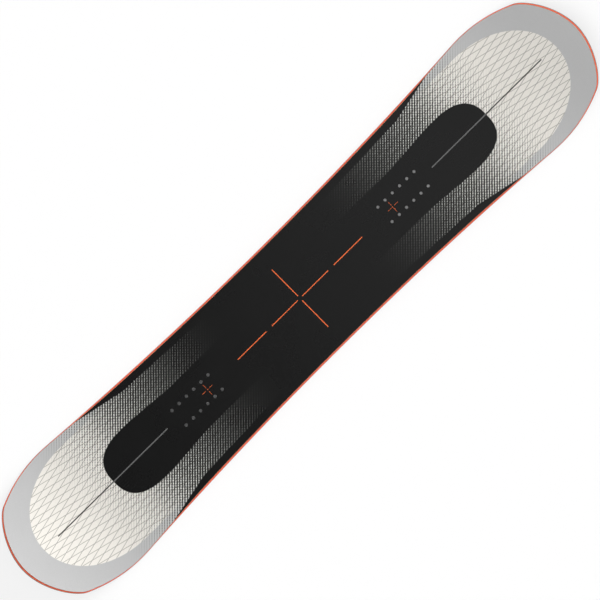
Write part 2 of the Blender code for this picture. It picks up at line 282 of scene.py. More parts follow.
def pressedPiece(name, bm, material):
    for vert in bm.verts:
        vert.co = pressed(vert.co)
    bmesh.ops.recalc_face_normals(bm, faces=bm.faces[:])
    mesh = meshFrom(bm, name)
    shade(mesh)
    mesh.materials.append(material)
    return addObject(name, mesh)


def wear(piece, slotName, *replaced):
    # every piece of a bare board rides on its one body
    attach(piece, "root")
    if replaced:
        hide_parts(*replaced)


# Material helpers

maths = "ShaderNodeMath"
vectorMaths = "ShaderNodeVectorMath"
ramp = "ShaderNodeMapRange"
mix = "ShaderNodeMix"
noise = "ShaderNodeTexNoise"
waves = "ShaderNodeTexWave"
coordinates = "ShaderNodeTexCoord"
splitter = "ShaderNodeSeparateXYZ"
noiseSpan = (0.3, 0.7)          # most of a noise texture's values lie between these


def linear(hexColour):
    channels = [int(hexColour[i:i + 2], 16) / 255 for i in (1, 3, 5)]
    return (*[c / 12.92 if c <= 0.04045 else ((c + 0.055) / 1.055) ** 2.4 for c in channels], 1)


def feed(tree, source, socket):
    # the source is a value, a socket, or a node whose first output in use is meant
    if isinstance(source, bpy.types.Node):
        source = next(output for output in source.outputs if output.enabled)
    if isinstance(source, bpy.types.NodeSocket):
        tree.links.new(source, socket)
    else:
        socket.default_value = source


def addNode(tree, kind, inputs=(), **settings):
    # inputs go by name, or by order among the sockets that the settings put in use
    node = tree.nodes.new(kind)
    row, column = divmod(len(tree.nodes), 14)
    node.location = (200 * column, -260 * row)      # laid out in rows, to be read in the editor
    for setting, value in settings.items():
        setattr(node, setting, value)
    sockets = node.inputs
    if not isinstance(inputs, dict):
        sockets = [socket for socket in node.inputs if socket.enabled]
        inputs = dict(enumerate(inputs))
    for key, source in inputs.items():
        feed(tree, source, sockets[key])
    return node


def newMaterial(name, **sockets):
    material = bpy.data.materials.new(name)
    material.use_nodes = True
    tree = material.node_tree
    for socket, value in sockets.items():
        tree.nodes["Principled BSDF"].inputs[socket.replace("_", " ")].default_value = value
    # object coordinates in millimetres, so that every pattern below is sized in millimetres
    where = addNode(tree, coordinates)
    inMm = addNode(tree, vectorMaths, [where.outputs["Object"], 1 / mm], operation="SCALE")
    return material, tree, inMm


def dress(tree, colour, roughness, height, relief):
    # what the patterns drive on every finish; the relief is a bump strength and a depth
    strength, depth = relief
    shader = tree.nodes["Principled BSDF"]
    bump = addNode(tree, "ShaderNodeBump", {"Height": height, "Strength": strength, "Distance": depth})
    feed(tree, colour, shader.inputs["Base Color"])
    feed(tree, roughness, shader.inputs["Roughness"])
    feed(tree, bump, shader.inputs["Normal"])


def streaks(tree, inMm, sizes, **detail):
    # noise drawn out to streaks of these millimetres along, across and up the board
    drawnOut = addNode(tree, vectorMaths, [inMm, [1 / size for size in sizes]], operation="MULTIPLY")
    return addNode(tree, noise, {"Vector": drawnOut, "Scale": 1.0, **detail})


def waveScale(pitch):
    # at scale 1 a wave texture repeats every pi / 10
    return pi / 10 / pitch


def unionOf(tree, masks):
    # 1 wherever any of the masks is
    union = masks[0]
    for mask in masks[1:]:
        union = addNode(tree, maths, [union, mask], operation="MAXIMUM")
    return union


# The print on the topsheet, as masks of 0 to 1 over the board's millimetres

def roundedEnd(tree, past, wide, power, blur):
    # a slightly squared half ellipse: past and wide are shares of its length and half width
    past = addNode(tree, maths, [past, power], operation="POWER")
    wide = addNode(tree, maths, [wide, power], operation="POWER")
    reach = addNode(tree, maths, [past, wide], operation="ADD")
    return addNode(tree, ramp, [reach, 1.0 - blur, 1.0 + blur, 1.0, 0.0])


def ovalMask(tree, pattern, along, across):
    # pale oval at each end: straight sides, then the rounded end
    past = addNode(tree, maths, [along, pattern["ovalCentre"]], operation="SUBTRACT")
    past = addNode(tree, maths, [past, 0.0], operation="MAXIMUM")
    past = addNode(tree, maths, [past, pattern["ovalLength"]], operation="DIVIDE")
    wide = addNode(tree, maths, [across, pattern["ovalWidth"]], operation="DIVIDE")
    return roundedEnd(tree, past, wide, pattern["ovalPower"], pattern["ovalBlur"])


def tongueMask(tree, pattern, along, across):
    # dark tongue that holds the inserts: it widens outwards and is rounded at its end
    half = addNode(tree, ramp, [along, *pattern["tongueWidens"], pattern["tongueNarrow"],
                                pattern["tongueWide"]], interpolation_type="SMOOTHSTEP")
    wide = addNode(tree, maths, [across, half], operation="DIVIDE")
    past = addNode(tree, ramp, [along, pattern["tongueEnd"],
                                pattern["tongueEnd"] + 2 * pattern["tongueRound"], 0.0, 2.0])
    return roundedEnd(tree, past, wide, pattern["tonguePower"], pattern["tongueBlur"])


def wedgeMask(tree, pattern, along, across):
    # dark wedge along each side, which turns outwards and narrows to nothing before the contact
    lean = addNode(tree, maths, [along, pattern["wedgeLean"], pattern["wedgeFoot"]],
                   operation="MULTIPLY_ADD")
    turned = addNode(tree, maths, [along, pattern["wedgeTurn"]], operation="SUBTRACT")
    turned = addNode(tree, maths, [turned, 0.0], operation="MAXIMUM")
    foot = addNode(tree, maths, [turned, pattern["wedgeFlare"], lean], operation="MULTIPLY_ADD")
    past = addNode(tree, maths, [across, foot], operation="SUBTRACT")
    return addNode(tree, ramp, [past, -pattern["wedgeBlur"], pattern["wedgeBlur"], 0.0, 1.0])


def fadeShare(tree, pattern, along):
    # fade from dark to pale: how much of each hatch pitch is left pale
    fade = addNode(tree, ramp, [along, pattern["fadeStart"], pattern["fadeEnd"], 0.0, 1.0])
    fade = addNode(tree, maths, [fade, pattern["fadePower"]], operation="POWER")
    rise = addNode(tree, ramp, [along, pattern["riseStart"], pattern["riseEnd"], 0.0, 1.0],
                   interpolation_type="SMOOTHERSTEP")
    return addNode(tree, mix, [pattern["riseShare"], fade, rise], data_type="FLOAT")


def hatchScreen(tree, pattern, inMm, alongSigned, fade):
    # fine slanted hatch, each line beaded by a weaker set that crosses it: every value is in
    # pitches, and each end of the board has its own start
    tailSide = addNode(tree, maths, [alongSigned, 0.0], operation="LESS_THAN")
    sets = []
    for turn, start, tailShift in (pattern["hatch"], pattern["beads"]):
        across = (cos(turn) / pattern["hatchPitch"], sin(turn) / pattern["hatchPitch"], 0)
        count = addNode(tree, vectorMaths, [inMm, across], operation="DOT_PRODUCT")
        start = addNode(tree, maths, [tailSide, tailShift, start], operation="MULTIPLY_ADD")
        sets.append(addNode(tree, maths, [count, start], operation="ADD"))
    hatch = addNode(tree, maths, [sets[0], 0.5], operation="PINGPONG")
    beads = addNode(tree, maths, [sets[1], 2 * pi], operation="MULTIPLY")
    beads = addNode(tree, maths, [beads], operation="COSINE")
    solid = addNode(tree, maths, [1.0, fade], operation="SUBTRACT")
    beads = addNode(tree, maths, [beads, solid], operation="MULTIPLY")
    beads = addNode(tree, maths, [beads, pattern["beading"], 1.0], operation="MULTIPLY_ADD")
    # near both ends of the fade the lines stop narrowing and only lose contrast, as ink spread does
    thin = pattern["thinnestLine"]
    duty = addNode(tree, "ShaderNodeClamp", [fade, thin, 1.0 - thin])
    halfLine = addNode(tree, maths, [duty, beads], operation="MULTIPLY")
    halfLine = addNode(tree, maths, [halfLine, 0.5], operation="MULTIPLY")
    lines = addNode(tree, maths, [hatch, halfLine], operation="LESS_THAN")
    lines = addNode(tree, maths, [lines, duty], operation="SUBTRACT")
    contrast = addNode(tree, maths, [fade, solid], operation="MINIMUM")
    contrast = addNode(tree, maths, [contrast, 1.0 / thin], operation="MULTIPLY", use_clamp=True)
    contrast = addNode(tree, maths, [contrast, pattern["hatchStrength"]], operation="MULTIPLY")
    return addNode(tree, maths, [lines, contrast, fade], operation="MULTIPLY_ADD")


def latticeMask(tree, pattern, inMm):
    # thin diamond lattice on the pale ground, each line a little soft at its sides
    half = pattern["latticeLine"] / 2 / pattern["latticeHeight"]
    soft = pattern["latticeSoftness"]
    lines = []
    for slant in (1, -1):
        across = (1 / pattern["latticeLength"], slant / pattern["latticeHeight"], 0)
        line = addNode(tree, vectorMaths, [inMm, across], operation="DOT_PRODUCT")
        line = addNode(tree, maths, [line, pattern["latticeStart"]], operation="ADD")
        line = addNode(tree, maths, [line, 0.5], operation="PINGPONG")
        lines.append(addNode(tree, ramp, [line, (1 - soft) * half, (1 + soft) * half, 1.0, 0.0]))
    return unionOf(tree, lines)


def barMask(tree, bars, along, acrossSigned):
    # straight lines: (middle along, middle across, half length, half width), the same at both ends
    drawn = []
    for barX, barY, halfX, halfY in bars:
        within = [addNode(tree, maths, [along, barX, halfX], operation="COMPARE"),
                  addNode(tree, maths, [acrossSigned, barY, halfY], operation="COMPARE")]
        drawn.append(addNode(tree, maths, within, operation="MULTIPLY"))
    return unionOf(tree, drawn)


# Finishes: pattern sizes are millimetres, and three of them go along, across and up the board

def sublimatedTopsheet(pattern):
    # Polyamide film printed from behind by sublimation: satin, the ink under the film, with the
    # fine pebble of the release cloth that it was pressed against.
    material, tree, inMm = newMaterial("sublimated_polyamide_film", IOR=1.5, Specular_IOR_Level=0.5)
    split = addNode(tree, splitter, [inMm])
    alongSigned, acrossSigned = split.outputs["X"], split.outputs["Y"]
    along = addNode(tree, maths, [alongSigned], operation="ABSOLUTE")
    across = addNode(tree, maths, [acrossSigned], operation="ABSOLUTE")
    oval = ovalMask(tree, pattern, along, across)
    tongue = tongueMask(tree, pattern, along, across)
    wedge = wedgeMask(tree, pattern, along, across)
    fade = fadeShare(tree, pattern, along)
    screen = hatchScreen(tree, pattern, inMm, alongSigned, fade)
    lattice = latticeMask(tree, pattern, inMm)
    centreBars = barMask(tree, pattern["centreBars"], along, acrossSigned)
    orangeBars = barMask(tree, pattern["orangeBars"], along, acrossSigned)
    ink = {name: linear(colour) for name, colour in pattern["inks"].items()}

    # inks, from the pale ground to the lines on top
    paper = addNode(tree, mix, [fade, ink["hatchInk"], ink["cream"]], data_type="RGBA")
    paper = addNode(tree, mix, [lattice, paper, ink["latticeGrey"]], data_type="RGBA")
    border = addNode(tree, mix, [fade, ink["hatchInk"], ink["grey"]], data_type="RGBA")
    ground = addNode(tree, mix, [oval, border, paper], data_type="RGBA")
    shown = screen
    for dark in (tongue, wedge):
        rest = addNode(tree, maths, [1.0, dark], operation="SUBTRACT")
        shown = addNode(tree, maths, [shown, rest], operation="MULTIPLY")
    colour = addNode(tree, mix, [shown, ink["black"], ground], data_type="RGBA")
    centreInk = addNode(tree, mix, [tongue, ink["centreDark"], ink["centreLight"]], data_type="RGBA")
    colour = addNode(tree, mix, [centreBars, colour, centreInk], data_type="RGBA")
    colour = addNode(tree, mix, [orangeBars, colour, ink["orange"]], data_type="RGBA")

    # a cloudy noise and a fine speckle keep each field from being flat
    cloud = addNode(tree, noise, {"Vector": inMm, "Scale": 1 / pattern["cloud"], "Detail": 3.0,
                                  "Roughness": 0.5})
    grain = addNode(tree, noise, {"Vector": inMm, "Scale": 1 / pattern["pebble"], "Detail": 2.0})
    tone = addNode(tree, ramp, [cloud, *noiseSpan, *pattern["cloudTone"]])
    speckle = addNode(tree, ramp, [grain, *noiseSpan, *pattern["speckleTone"]])
    tone = addNode(tree, maths, [tone, speckle], operation="MULTIPLY")
    tone = addNode(tree, "ShaderNodeCombineXYZ", [tone, tone, tone])
    colour = addNode(tree, mix, [1.0, colour, tone], data_type="RGBA", blend_type="MULTIPLY")

    # the router leaves the film's rounded lip bare of ink and a little whitened
    facing = addNode(tree, splitter, [addNode(tree, coordinates).outputs["Normal"]]).outputs["Z"]
    trimmed = addNode(tree, ramp, [facing, *pattern["trimmedFrom"], 0.0, pattern["trimmedShare"]])
    colour = addNode(tree, mix, [trimmed, colour, ink["trimmed"]], data_type="RGBA")

    # gloss: the film is a little shinier over the dark ink, with faint hairline scuffs along the board
    gloss = addNode(tree, ramp, [shown, 0.0, 1.0, pattern["darkRoughness"], pattern["paleRoughness"]])
    scuffs = streaks(tree, inMm, pattern["scuffSize"], Detail=4.0, Roughness=0.7)
    scuffs = addNode(tree, ramp, [scuffs, *pattern["scuffSpan"], 0.0, pattern["scuffDulling"]])
    smudge = addNode(tree, ramp, [cloud, *pattern["smudgeSpan"], -pattern["smudge"], pattern["smudge"]])
    for dulling in (scuffs, smudge):
        gloss = addNode(tree, maths, [gloss, dulling], operation="ADD")

    # relief: the pebble of the release cloth, 0.4 mm on a real sheet and drawn at 0.8 mm so that it
    # shows, over the faint print-through of the glass rovings that run along the board under the film
    rovings = addNode(tree, waves, {"Vector": inMm, "Scale": waveScale(pattern["rovingPitch"]),
                                    "Distortion": 1.2, "Detail": 2.0, "Detail Scale": 0.2},
                      wave_type="BANDS", bands_direction="Y")
    height = addNode(tree, maths, [rovings, pattern["printThrough"], grain], operation="MULTIPLY_ADD")
    dress(tree, colour, gloss, height, pattern["relief"])
    return material


def milledAbs(settings):
    # ABS strip routed to its bevel after pressing: satin, with fine cutter marks along the board
    # and a slight whitening where the cutter chattered.
    material, tree, inMm = newMaterial("milled_abs", IOR=1.54)
    marks = streaks(tree, inMm, settings["markSize"], Detail=3.0, Roughness=0.6)
    chatter = addNode(tree, waves, {"Vector": inMm, "Scale": waveScale(settings["chatterPitch"]),
                                    "Distortion": 1.5, "Detail": 1.0},
                      wave_type="BANDS", bands_direction="X")
    pale = addNode(tree, ramp, [marks, *settings["whitenedSpan"], 0.0, settings["whitenedShare"]])
    colour = addNode(tree, mix, [pale, linear(settings["colour"]), linear(settings["whitened"])],
                     data_type="RGBA")
    gloss = addNode(tree, ramp, [marks, *noiseSpan, *settings["roughness"]])
    height = addNode(tree, maths, [chatter, settings["chatter"], marks], operation="MULTIPLY_ADD")
    dress(tree, colour, gloss, height, settings["relief"])
    return material


def mouldedUrethane(settings):
    # Injection-moulded urethane at the tips: smoother than the sidewall, with faint flow clouding.
    # Its orange is painted a little brighter than the sidewall's: painted light that makes up for the
    # dimmer light on the bevels at the tips.
    material, tree, inMm = newMaterial("moulded_urethane", IOR=1.5)
    flow = addNode(tree, noise, {"Vector": inMm, "Scale": 1 / settings["flowSize"], "Detail": 4.0,
                                 "Distortion": 0.6})
    share = addNode(tree, ramp, [flow, *settings["deeperSpan"], 0.0, settings["deeperShare"]])
    colour = addNode(tree, mix, [share, linear(settings["colour"]), linear(settings["deeper"])],
                     data_type="RGBA")
    gloss = addNode(tree, ramp, [flow, *noiseSpan, *settings["roughness"]])
    mouldGrain = addNode(tree, noise, {"Vector": inMm, "Scale": 1 / settings["grain"], "Detail": 2.0})
    dress(tree, colour, gloss, mouldGrain, settings["relief"])
    return material


def groundSteel(settings):
    # Hardened carbon steel, ground along its length: bright, with long fine scratches that
    # spread the highlight across them.
    material, tree, inMm = newMaterial("ground_carbon_steel", Metallic=1.0)
    scratches = streaks(tree, inMm, settings["scratchSize"], Detail=4.0, Roughness=0.65)
    tint = addNode(tree, noise, {"Vector": inMm, "Scale": 1 / settings["tintSize"], "Detail": 3.0})
    share = addNode(tree, ramp, [tint, *settings["dulledSpan"], 0.0, settings["dulledShare"]])
    colour = addNode(tree, mix, [share, linear(settings["steel"]), linear(settings["dulled"])],
                     data_type="RGBA")
    gloss = addNode(tree, ramp, [scratches, *noiseSpan, *settings["roughness"]])
    dress(tree, colour, gloss, scratches, settings["relief"])
    return material


def sinteredPolyethylene(settings):
    # Sintered, carbon-filled polyethylene, stone-ground and waxed: near black, waxy, with a
    # fine structure of shallow grooves along the board. The grooves are 0.5 mm apart on a real
    # base and drawn at 1.2 mm, so that they show at all.
    material, tree, inMm = newMaterial("sintered_polyethylene", IOR=1.51)
    grooves = addNode(tree, waves, {"Vector": inMm, "Scale": waveScale(settings["groovePitch"]),
                                    "Distortion": 0.4, "Detail": 2.0, "Detail Scale": 0.6},
                      wave_type="BANDS", bands_direction="Y")
    wax = streaks(tree, inMm, settings["waxSize"], Detail=4.0, Roughness=0.6)
    share = addNode(tree, ramp, [wax, *settings["dryWaxSpan"], 0.0, 1.0])
    colour = addNode(tree, mix, [share, linear(settings["colour"]), linear(settings["dryWax"])],
                     data_type="RGBA")
    gloss = addNode(tree, ramp, [wax, *noiseSpan, *settings["roughness"]])
    dress(tree, colour, gloss, grooves, settings["relief"])
    return material


def turnedStainless(settings):
    # A2 stainless turned on a lathe, with fine rings, and dull from tumbling; the forming punch
    # leaves the blind bottom smooth and bright.
    material, tree, inMm = newMaterial("turned_stainless", Metallic=1.0, Anisotropic=0.3)
    split = addNode(tree, splitter, [inMm])
    flat = addNode(tree, "ShaderNodeCombineXYZ", [split.outputs["X"], split.outputs["Y"], 0.0])
    radius = addNode(tree, vectorMaths, [flat], operation="LENGTH")
    rings = addNode(tree, maths, [radius, 2 * pi / settings["ringPitch"]], operation="MULTIPLY")
    rings = addNode(tree, maths, [rings], operation="SINE")
    bottom = (coreBottom + settings["flangeHeight"]) / mm
    turned = addNode(tree, ramp, [split.outputs["Z"], bottom, bottom + settings["cornerFillet"] / mm,
                                  0.0, 1.0])
    rings = addNode(tree, maths, [rings, turned], operation="MULTIPLY")
    grain = addNode(tree, noise, {"Vector": inMm, "Scale": 1 / settings["grain"], "Detail": 3.0})
    colour = addNode(tree, mix, [grain, linear(settings["bright"]), linear(settings["shade"])],
                     data_type="RGBA")
    dull = addNode(tree, ramp, [grain, *noiseSpan, *settings["roughness"]])
    gloss = addNode(tree, mix, [turned, settings["burnished"], dull], data_type="FLOAT")
    dress(tree, colour, gloss, rings, settings["relief"])
    around = addNode(tree, "ShaderNodeTangent", direction_type="RADIAL", axis="Z")
    feed(tree, around, tree.nodes["Principled BSDF"].inputs["Tangent"])
    return material


def glassLaminate(settings):
    # Stitched glass cloth in epoxy, trimmed at the edge: straw-green, half clear, with the ends
    # of the rovings showing as paler dashes.
    material, tree, inMm = newMaterial("stitched_glass_epoxy", IOR=1.53, Subsurface_Weight=0.15,
                                       Subsurface_Scale=1 * mm, Subsurface_Radius=(1.0, 0.9, 0.5))
    roving = addNode(tree, waves, {"Vector": inMm, "Scale": waveScale(settings["rovingPitch"]),
                                   "Distortion": 1.0, "Detail": 2.0},
                     wave_type="BANDS", bands_direction="DIAGONAL")
    cloud = addNode(tree, noise, {"Vector": inMm, "Scale": 1 / settings["cloud"], "Detail": 4.0})
    share = addNode(tree, maths, [roving, cloud], operation="MULTIPLY")
    colour = addNode(tree, mix, [share, linear(settings["resinRich"]), linear(settings["glassRich"])],
                     data_type="RGBA")
    gloss = addNode(tree, ramp, [cloud, *noiseSpan, *settings["roughness"]])
    dress(tree, colour, gloss, roving, settings["relief"])
    return material


def curedEpoxy(settings):
    # Squeezed-out epoxy at the bond lines, trimmed flush: amber-grey, glossy where unsanded.
    material, tree, inMm = newMaterial("cured_epoxy", IOR=1.55)
    cloud = addNode(tree, noise, {"Vector": inMm, "Scale": 1 / settings["cloud"], "Detail": 4.0})
    colour = addNode(tree, mix, [cloud, linear(settings["clear"]), linear(settings["dusty"])],
                     data_type="RGBA")
    gloss = addNode(tree, ramp, [cloud, *noiseSpan, *settings["roughness"]])
    dress(tree, colour, gloss, cloud, settings["relief"])
    return material


def calenderedRubber(settings):
    # Calendered rubber foil over the steel: black, dull, with a faint cloth imprint.
    material, tree, inMm = newMaterial("calendered_rubber", IOR=1.52)
    cloud = addNode(tree, noise, {"Vector": inMm, "Scale": 1 / settings["cloud"], "Detail": 4.0})
    colour = addNode(tree, mix, [cloud, linear(settings["black"]), linear(settings["bloom"])],
                     data_type="RGBA")
    gloss = addNode(tree, ramp, [cloud, *noiseSpan, *settings["roughness"]])
    imprint = addNode(tree, waves, {"Vector": inMm, "Scale": waveScale(settings["imprintPitch"])},
                      wave_type="BANDS", bands_direction="X")
    dress(tree, colour, gloss, imprint, settings["relief"])
    return material


def planedWood(name, settings):
    # Quarter-sawn strip, planed before gluing up: the rings run along it as fine straight
    # lines, with short darker pores between them.
    material, tree, inMm = newMaterial(name, IOR=1.5)
    rings = streaks(tree, inMm, (settings["ringLength"], settings["ringWidth"], settings["ringDepth"]),
                    Detail=5.0, Roughness=0.6, Distortion=0.3)
    pores = streaks(tree, inMm, settings["poreSize"], Detail=2.0)
    pores = addNode(tree, ramp, [pores, *settings["poreSpan"], 0.0, settings["poreShare"]])
    colour = addNode(tree, mix, [rings, linear(settings["early"]), linear(settings["late"])],
                     data_type="RGBA")
    colour = addNode(tree, mix, [pores, colour, linear(settings["pore"])], data_type="RGBA")
    gloss = addNode(tree, ramp, [rings, *noiseSpan, *settings["roughness"]])
    dress(tree, colour, gloss, pores, settings["relief"])
    return material


# Topsheet: the printed face, opened over each insert's thread

topsheet = {
    "lip": 0.18 * mm,           # rounding of the trimmed rim
    "flatStart": 1.0 * mm,      # the flat face begins this far inside the rim
    "openingRadius": 3.1 * mm,
    "openingChamfer": 0.1 * mm,
    "openingSides": 32,
    "cutterReach": 1.0 * mm,    # the cutting plugs stand out this far on both faces
}
printedFace = {
    # all in millimetres, measured from the middle of the board; a blur is a share of its shape
    "ovalCentre": 545.0, "ovalLength": 162.0, "ovalWidth": 123.0, "ovalPower": 2.05, "ovalBlur": 0.004,
    "tongueWidens": (290.0, 430.0), "tongueNarrow": 55.5, "tongueWide": 64.0, "tongueEnd": 430.0,
    "tongueRound": 86.0, "tonguePower": 2.65, "tongueBlur": 0.01,
    "wedgeFoot": 99.2, "wedgeLean": 0.043, "wedgeTurn": 380.0, "wedgeFlare": 0.165, "wedgeBlur": 0.3,
    "fadeStart": 120.0, "fadeEnd": 483.5, "fadePower": 2.84,
    "riseStart": 382.0, "riseEnd": 622.0, "riseShare": 0.506,
    # direction across the lines, start at the nose, and the tail's shift from it
    "hatch": (radians(-44.27), 0.3215, 0.5972), "beads": (radians(46.1), 0.0, -0.397),
    "hatchPitch": 5.053, "hatchStrength": 0.83, "beading": 0.8, "thinnestLine": 0.18,
    "latticeLength": 53.47, "latticeHeight": 13.3, "latticeStart": 0.241, "latticeLine": 1.1,
    "latticeSoftness": 0.4,
    # crosshair in the middle, its outer dashes, and a small cross in each insert pack
    "orangeBars": [(42, 0, 36, 0.85), (133, 0, 39.5, 0.85), (0, 42.5, 0.85, 36.5), (0, -42.5, 0.85, 36.5),
                   (248.4, 0, 4.9, 0.3), (266.1, 0, 4.9, 0.3), (256.5, 8.3, 0.3, 4.9),
                   (256.5, -8.3, 0.3, 4.9), (256.1, 0, 0.9, 0.9)],
    "centreBars": [(517.5, 0.9, 151.5, 1.2)],
    "inks": {"cream": "#E7E3DC", "grey": "#B8B8B8", "black": "#121212", "orange": "#F0703C",
             "hatchInk": "#E0E2DD", "latticeGrey": "#9A978F", "centreLight": "#646464",
             "centreDark": "#2A2826", "trimmed": "#A8A8A6"},
    "trimmedShare": 0.5, "trimmedFrom": (0.88, 0.4),
    "cloud": 90.0, "cloudTone": (0.985, 1.015), "speckleTone": (0.94, 1.06),
    "darkRoughness": 0.28, "paleRoughness": 0.36, "smudge": 0.015, "smudgeSpan": (0.35, 0.65),
    "scuffSize": (60.0, 0.8, 1.0), "scuffSpan": (0.62, 0.72), "scuffDulling": 0.06,
    "pebble": 0.8, "rovingPitch": 2.6, "printThrough": 0.12, "relief": (0.6, 0.1 * mm),
}
insertPacks = {
    "stance": 0.5706,
    "pitch": 20 * mm,
    "rowSpacing": 40 * mm,
    "perRow": 6,
}


def insertPlaces():
    halfRow = (insertPacks["perRow"] - 1) * insertPacks["pitch"] / 2
    for end, sideX in boardEnds:
        for row, sideY in boardSides:
            for number in range(insertPacks["perRow"]):
                x = sideX * (insertPacks["stance"] / 2 - halfRow + number * insertPacks["pitch"])
                yield f"{end}_{row}_{number + 1}", x, sideY * insertPacks["rowSpacing"] / 2


def openingCutter():
    # one chamfered plug over each insert, all in one mesh
    radius, chamfer = topsheet["openingRadius"], topsheet["openingChamfer"]
    reach = topsheet["cutterReach"]
    profile = ((radius, topsheetBottom - reach), (radius, topsheetTop - chamfer),
               (radius + chamfer, topsheetTop), (radius + chamfer, topsheetTop + reach))
    bm = bmesh.new()
    for _, x, y in insertPlaces():
        loops = [turnedLoop(bm, [r] * topsheet["openingSides"], z, x, y) for r, z in profile]
        joinLoops(bm, loops)
        bm.faces.new(loops[0][::-1])
        bm.faces.new(loops[-1])
    return addObject("opening_cutter", meshFrom(bm, "opening_cutter"))


def makeTopsheet():
    def section(along):
        edge = bevelInset(along) + 2 * layers["topSetback"]
        return roundedSection([
            (edge, topsheetBottom, 0),
            (edge, topsheetTop, topsheet["lip"]),
            (edge + topsheet["flatStart"], topsheetTop, 0),
        ], closed=False)

    piece = pressedPiece("printed_topsheet", skin(section), sublimatedTopsheet(printedFace))
    cutter = openingCutter()
    cut = piece.modifiers.new("openings", "BOOLEAN")
    cut.operation = "DIFFERENCE"
    cut.object = cutter
    opened = piece.evaluated_get(bpy.context.evaluated_depsgraph_get())
    piece.data = bpy.data.meshes.new_from_object(opened)
    piece.modifiers.clear()
    shade(piece.data)
    bpy.data.objects.remove(cutter)
    wear(piece, "printed_topsheet", "topsheet")


makeTopsheet()
print("topsheet printed and opened")


# Threaded inserts: flange and barrel, M6 thread, blind at the flange

insert = {
    "flangeRadius": 7.5 * mm,
    "flangeHeight": 1.2 * mm,
    "barrelRadius": 4.75 * mm,
    "chamfer": 0.25 * mm,
    "mouthRadius": 2.9 * mm,    # the thread's mouth is broken by a small 90 degree countersink
    "mouthDepth": 0.4 * mm,
    "rootRadius": 3.0 * mm,     # M6 x 1
    "crestRadius": 2.5 * mm,
    "threadPitch": 1.0 * mm,
    "threadEnd": 0.5 * mm,      # the thread starts and stops this far from top and bottom
    "grooveSlope": 1.4,         # flat crests and roots with sloping flanks between them
    "cornerFillet": 0.1 * mm,   # round the blind bottom
    "sides": 32,
    "rowsPerTurn": 6,
    "bright": "#EAEAEA",
    "shade": "#CACACB",
    "ringPitch": 0.25,
    "grain": 0.6,
    "burnished": 0.28,
    "roughness": (0.4, 0.5),
    "relief": (0.3, 0.01 * mm),
}


def threadRadius(turn, depth):
    # a truncated 60 degree groove that climbs one pitch a turn
    groove = 2 * abs((depth / insert["threadPitch"] + turn) % 1 - 0.5)
    slope = insert["grooveSlope"]
    groove = min(max(slope * groove - (slope - 1) / 2, 0), 1)
    return insert["crestRadius"] + groove * (insert["rootRadius"] - insert["crestRadius"])


def insertMesh():
    top, floor = topGlassTop, coreBottom + insert["flangeHeight"]
    chamfer, fillet = insert["chamfer"], insert["cornerFillet"]
    flange, barrel, crest = insert["flangeRadius"], insert["barrelRadius"], insert["crestRadius"]
    sides = insert["sides"]
    outside = [
        (flange - chamfer, coreBottom),
        (flange, coreBottom + chamfer),
        (flange, floor - chamfer),
        (flange - chamfer, floor),
        (barrel, floor),
        (barrel, top - chamfer),
        (barrel - chamfer, top),
        (insert["mouthRadius"], top),
        (crest, top - insert["mouthDepth"]),
    ]
    threadTop, threadFloor = top - insert["threadEnd"], floor + insert["threadEnd"]
    rows = round((threadTop - threadFloor) / insert["threadPitch"] * insert["rowsPerTurn"])
    bm = bmesh.new()
    loops = [turnedLoop(bm, [radius] * sides, height) for radius, height in outside]
    for row in range(rows + 1):
        height = threadTop + (threadFloor - threadTop) * row / rows
        runOut = row in (0, rows)
        radii = [crest if runOut else threadRadius(k / sides, height) for k in range(sides)]
        loops.append(turnedLoop(bm, radii, height))
    loops.append(turnedLoop(bm, [crest] * sides, floor + fillet))
    loops.append(turnedLoop(bm, [crest - fillet] * sides, floor))
    joinLoops(bm, loops)
    for loop, height in ((loops[0], coreBottom), (loops[-1], floor)):
        pole = bm.verts.new((0, 0, height))
        for i in range(sides):
            bm.faces.new((loop[i], loop[(i + 1) % sides], pole))
    bmesh.ops.recalc_face_normals(bm, faces=bm.faces[:])
    return meshFrom(bm, "threaded_insert")


def makeInserts():
    mesh = insertMesh()
    shade(mesh)
    mesh.materials.append(turnedStainless(insert))
    for label, x, y in insertPlaces():
        piece = addObject("turned_insert_" + label, mesh)
        piece.location = (x, y, 0)
        wear(piece, "insert_steel", "insert_" + label)


makeInserts()
print("inserts turned and threaded")


# Sidewalls and tip spacers

sidewall = {
    "footRadius": 0.3 * mm,
    "cornerRadius": 0.1 * mm,
    "innerInset": 7.3 * mm,
    "colour": "#E35532",
    "whitened": "#EC8A67",
    "whitenedSpan": (0.5, 0.75),
    "whitenedShare": 0.35,
    "markSize": (40.0, 0.35, 0.35),
    "chatterPitch": 1.5,        # between cutter marks
    "chatter": 0.4,
    "roughness": (0.34, 0.48),
    "relief": (0.4, 0.02 * mm),
}
tipSpacer = {
    "innerInset": 7.6 * mm,
    # painted light: this orange is brighter than the sidewall's to make up for the dimmer light on the
    # bevels at the tips
    "colour": "#FF6F4E",
    "deeper": "#F4603F",
    "deeperSpan": (0.35, 0.65),
    "deeperShare": 0.3,
    "flowSize": 25.0,
    "grain": 0.4,
    "roughness": (0.32, 0.4),
    "relief": (0.3, 0.01 * mm),
}


def bevelledFace(along):
    # the face that sidewall and tip spacer share, from the glass up to the bevel's top
    proud = layers["edgeProud"]
    return [
        (proud, sidewallBottom, sidewall["cornerRadius"]),
        (proud, bevelBottom, sidewall["footRadius"]),
        (bevelInset(along), coreTop, 0),
    ]


def makeSidewalls():
    def section(along):
        inside = sidewall["innerInset"]
        return roundedSection([*bevelledFace(along), (inside, coreTop, 0), (inside, sidewallBottom, 0)],
                              closed=True)

    plastic = milledAbs(sidewall)
    for side, sideY in boardSides:
        bm = skin(section, hollow=True)
        halfOf(bm, sideY)
        saw(bm, (-layers["coreEnd"], 0, 0), (-1, 0, 0))
        saw(bm, (layers["coreEnd"], 0, 0), (1, 0, 0))
        wear(pressedPiece("milled_sidewall_" + side, bm, plastic), "sidewall", "sidewall_" + side)


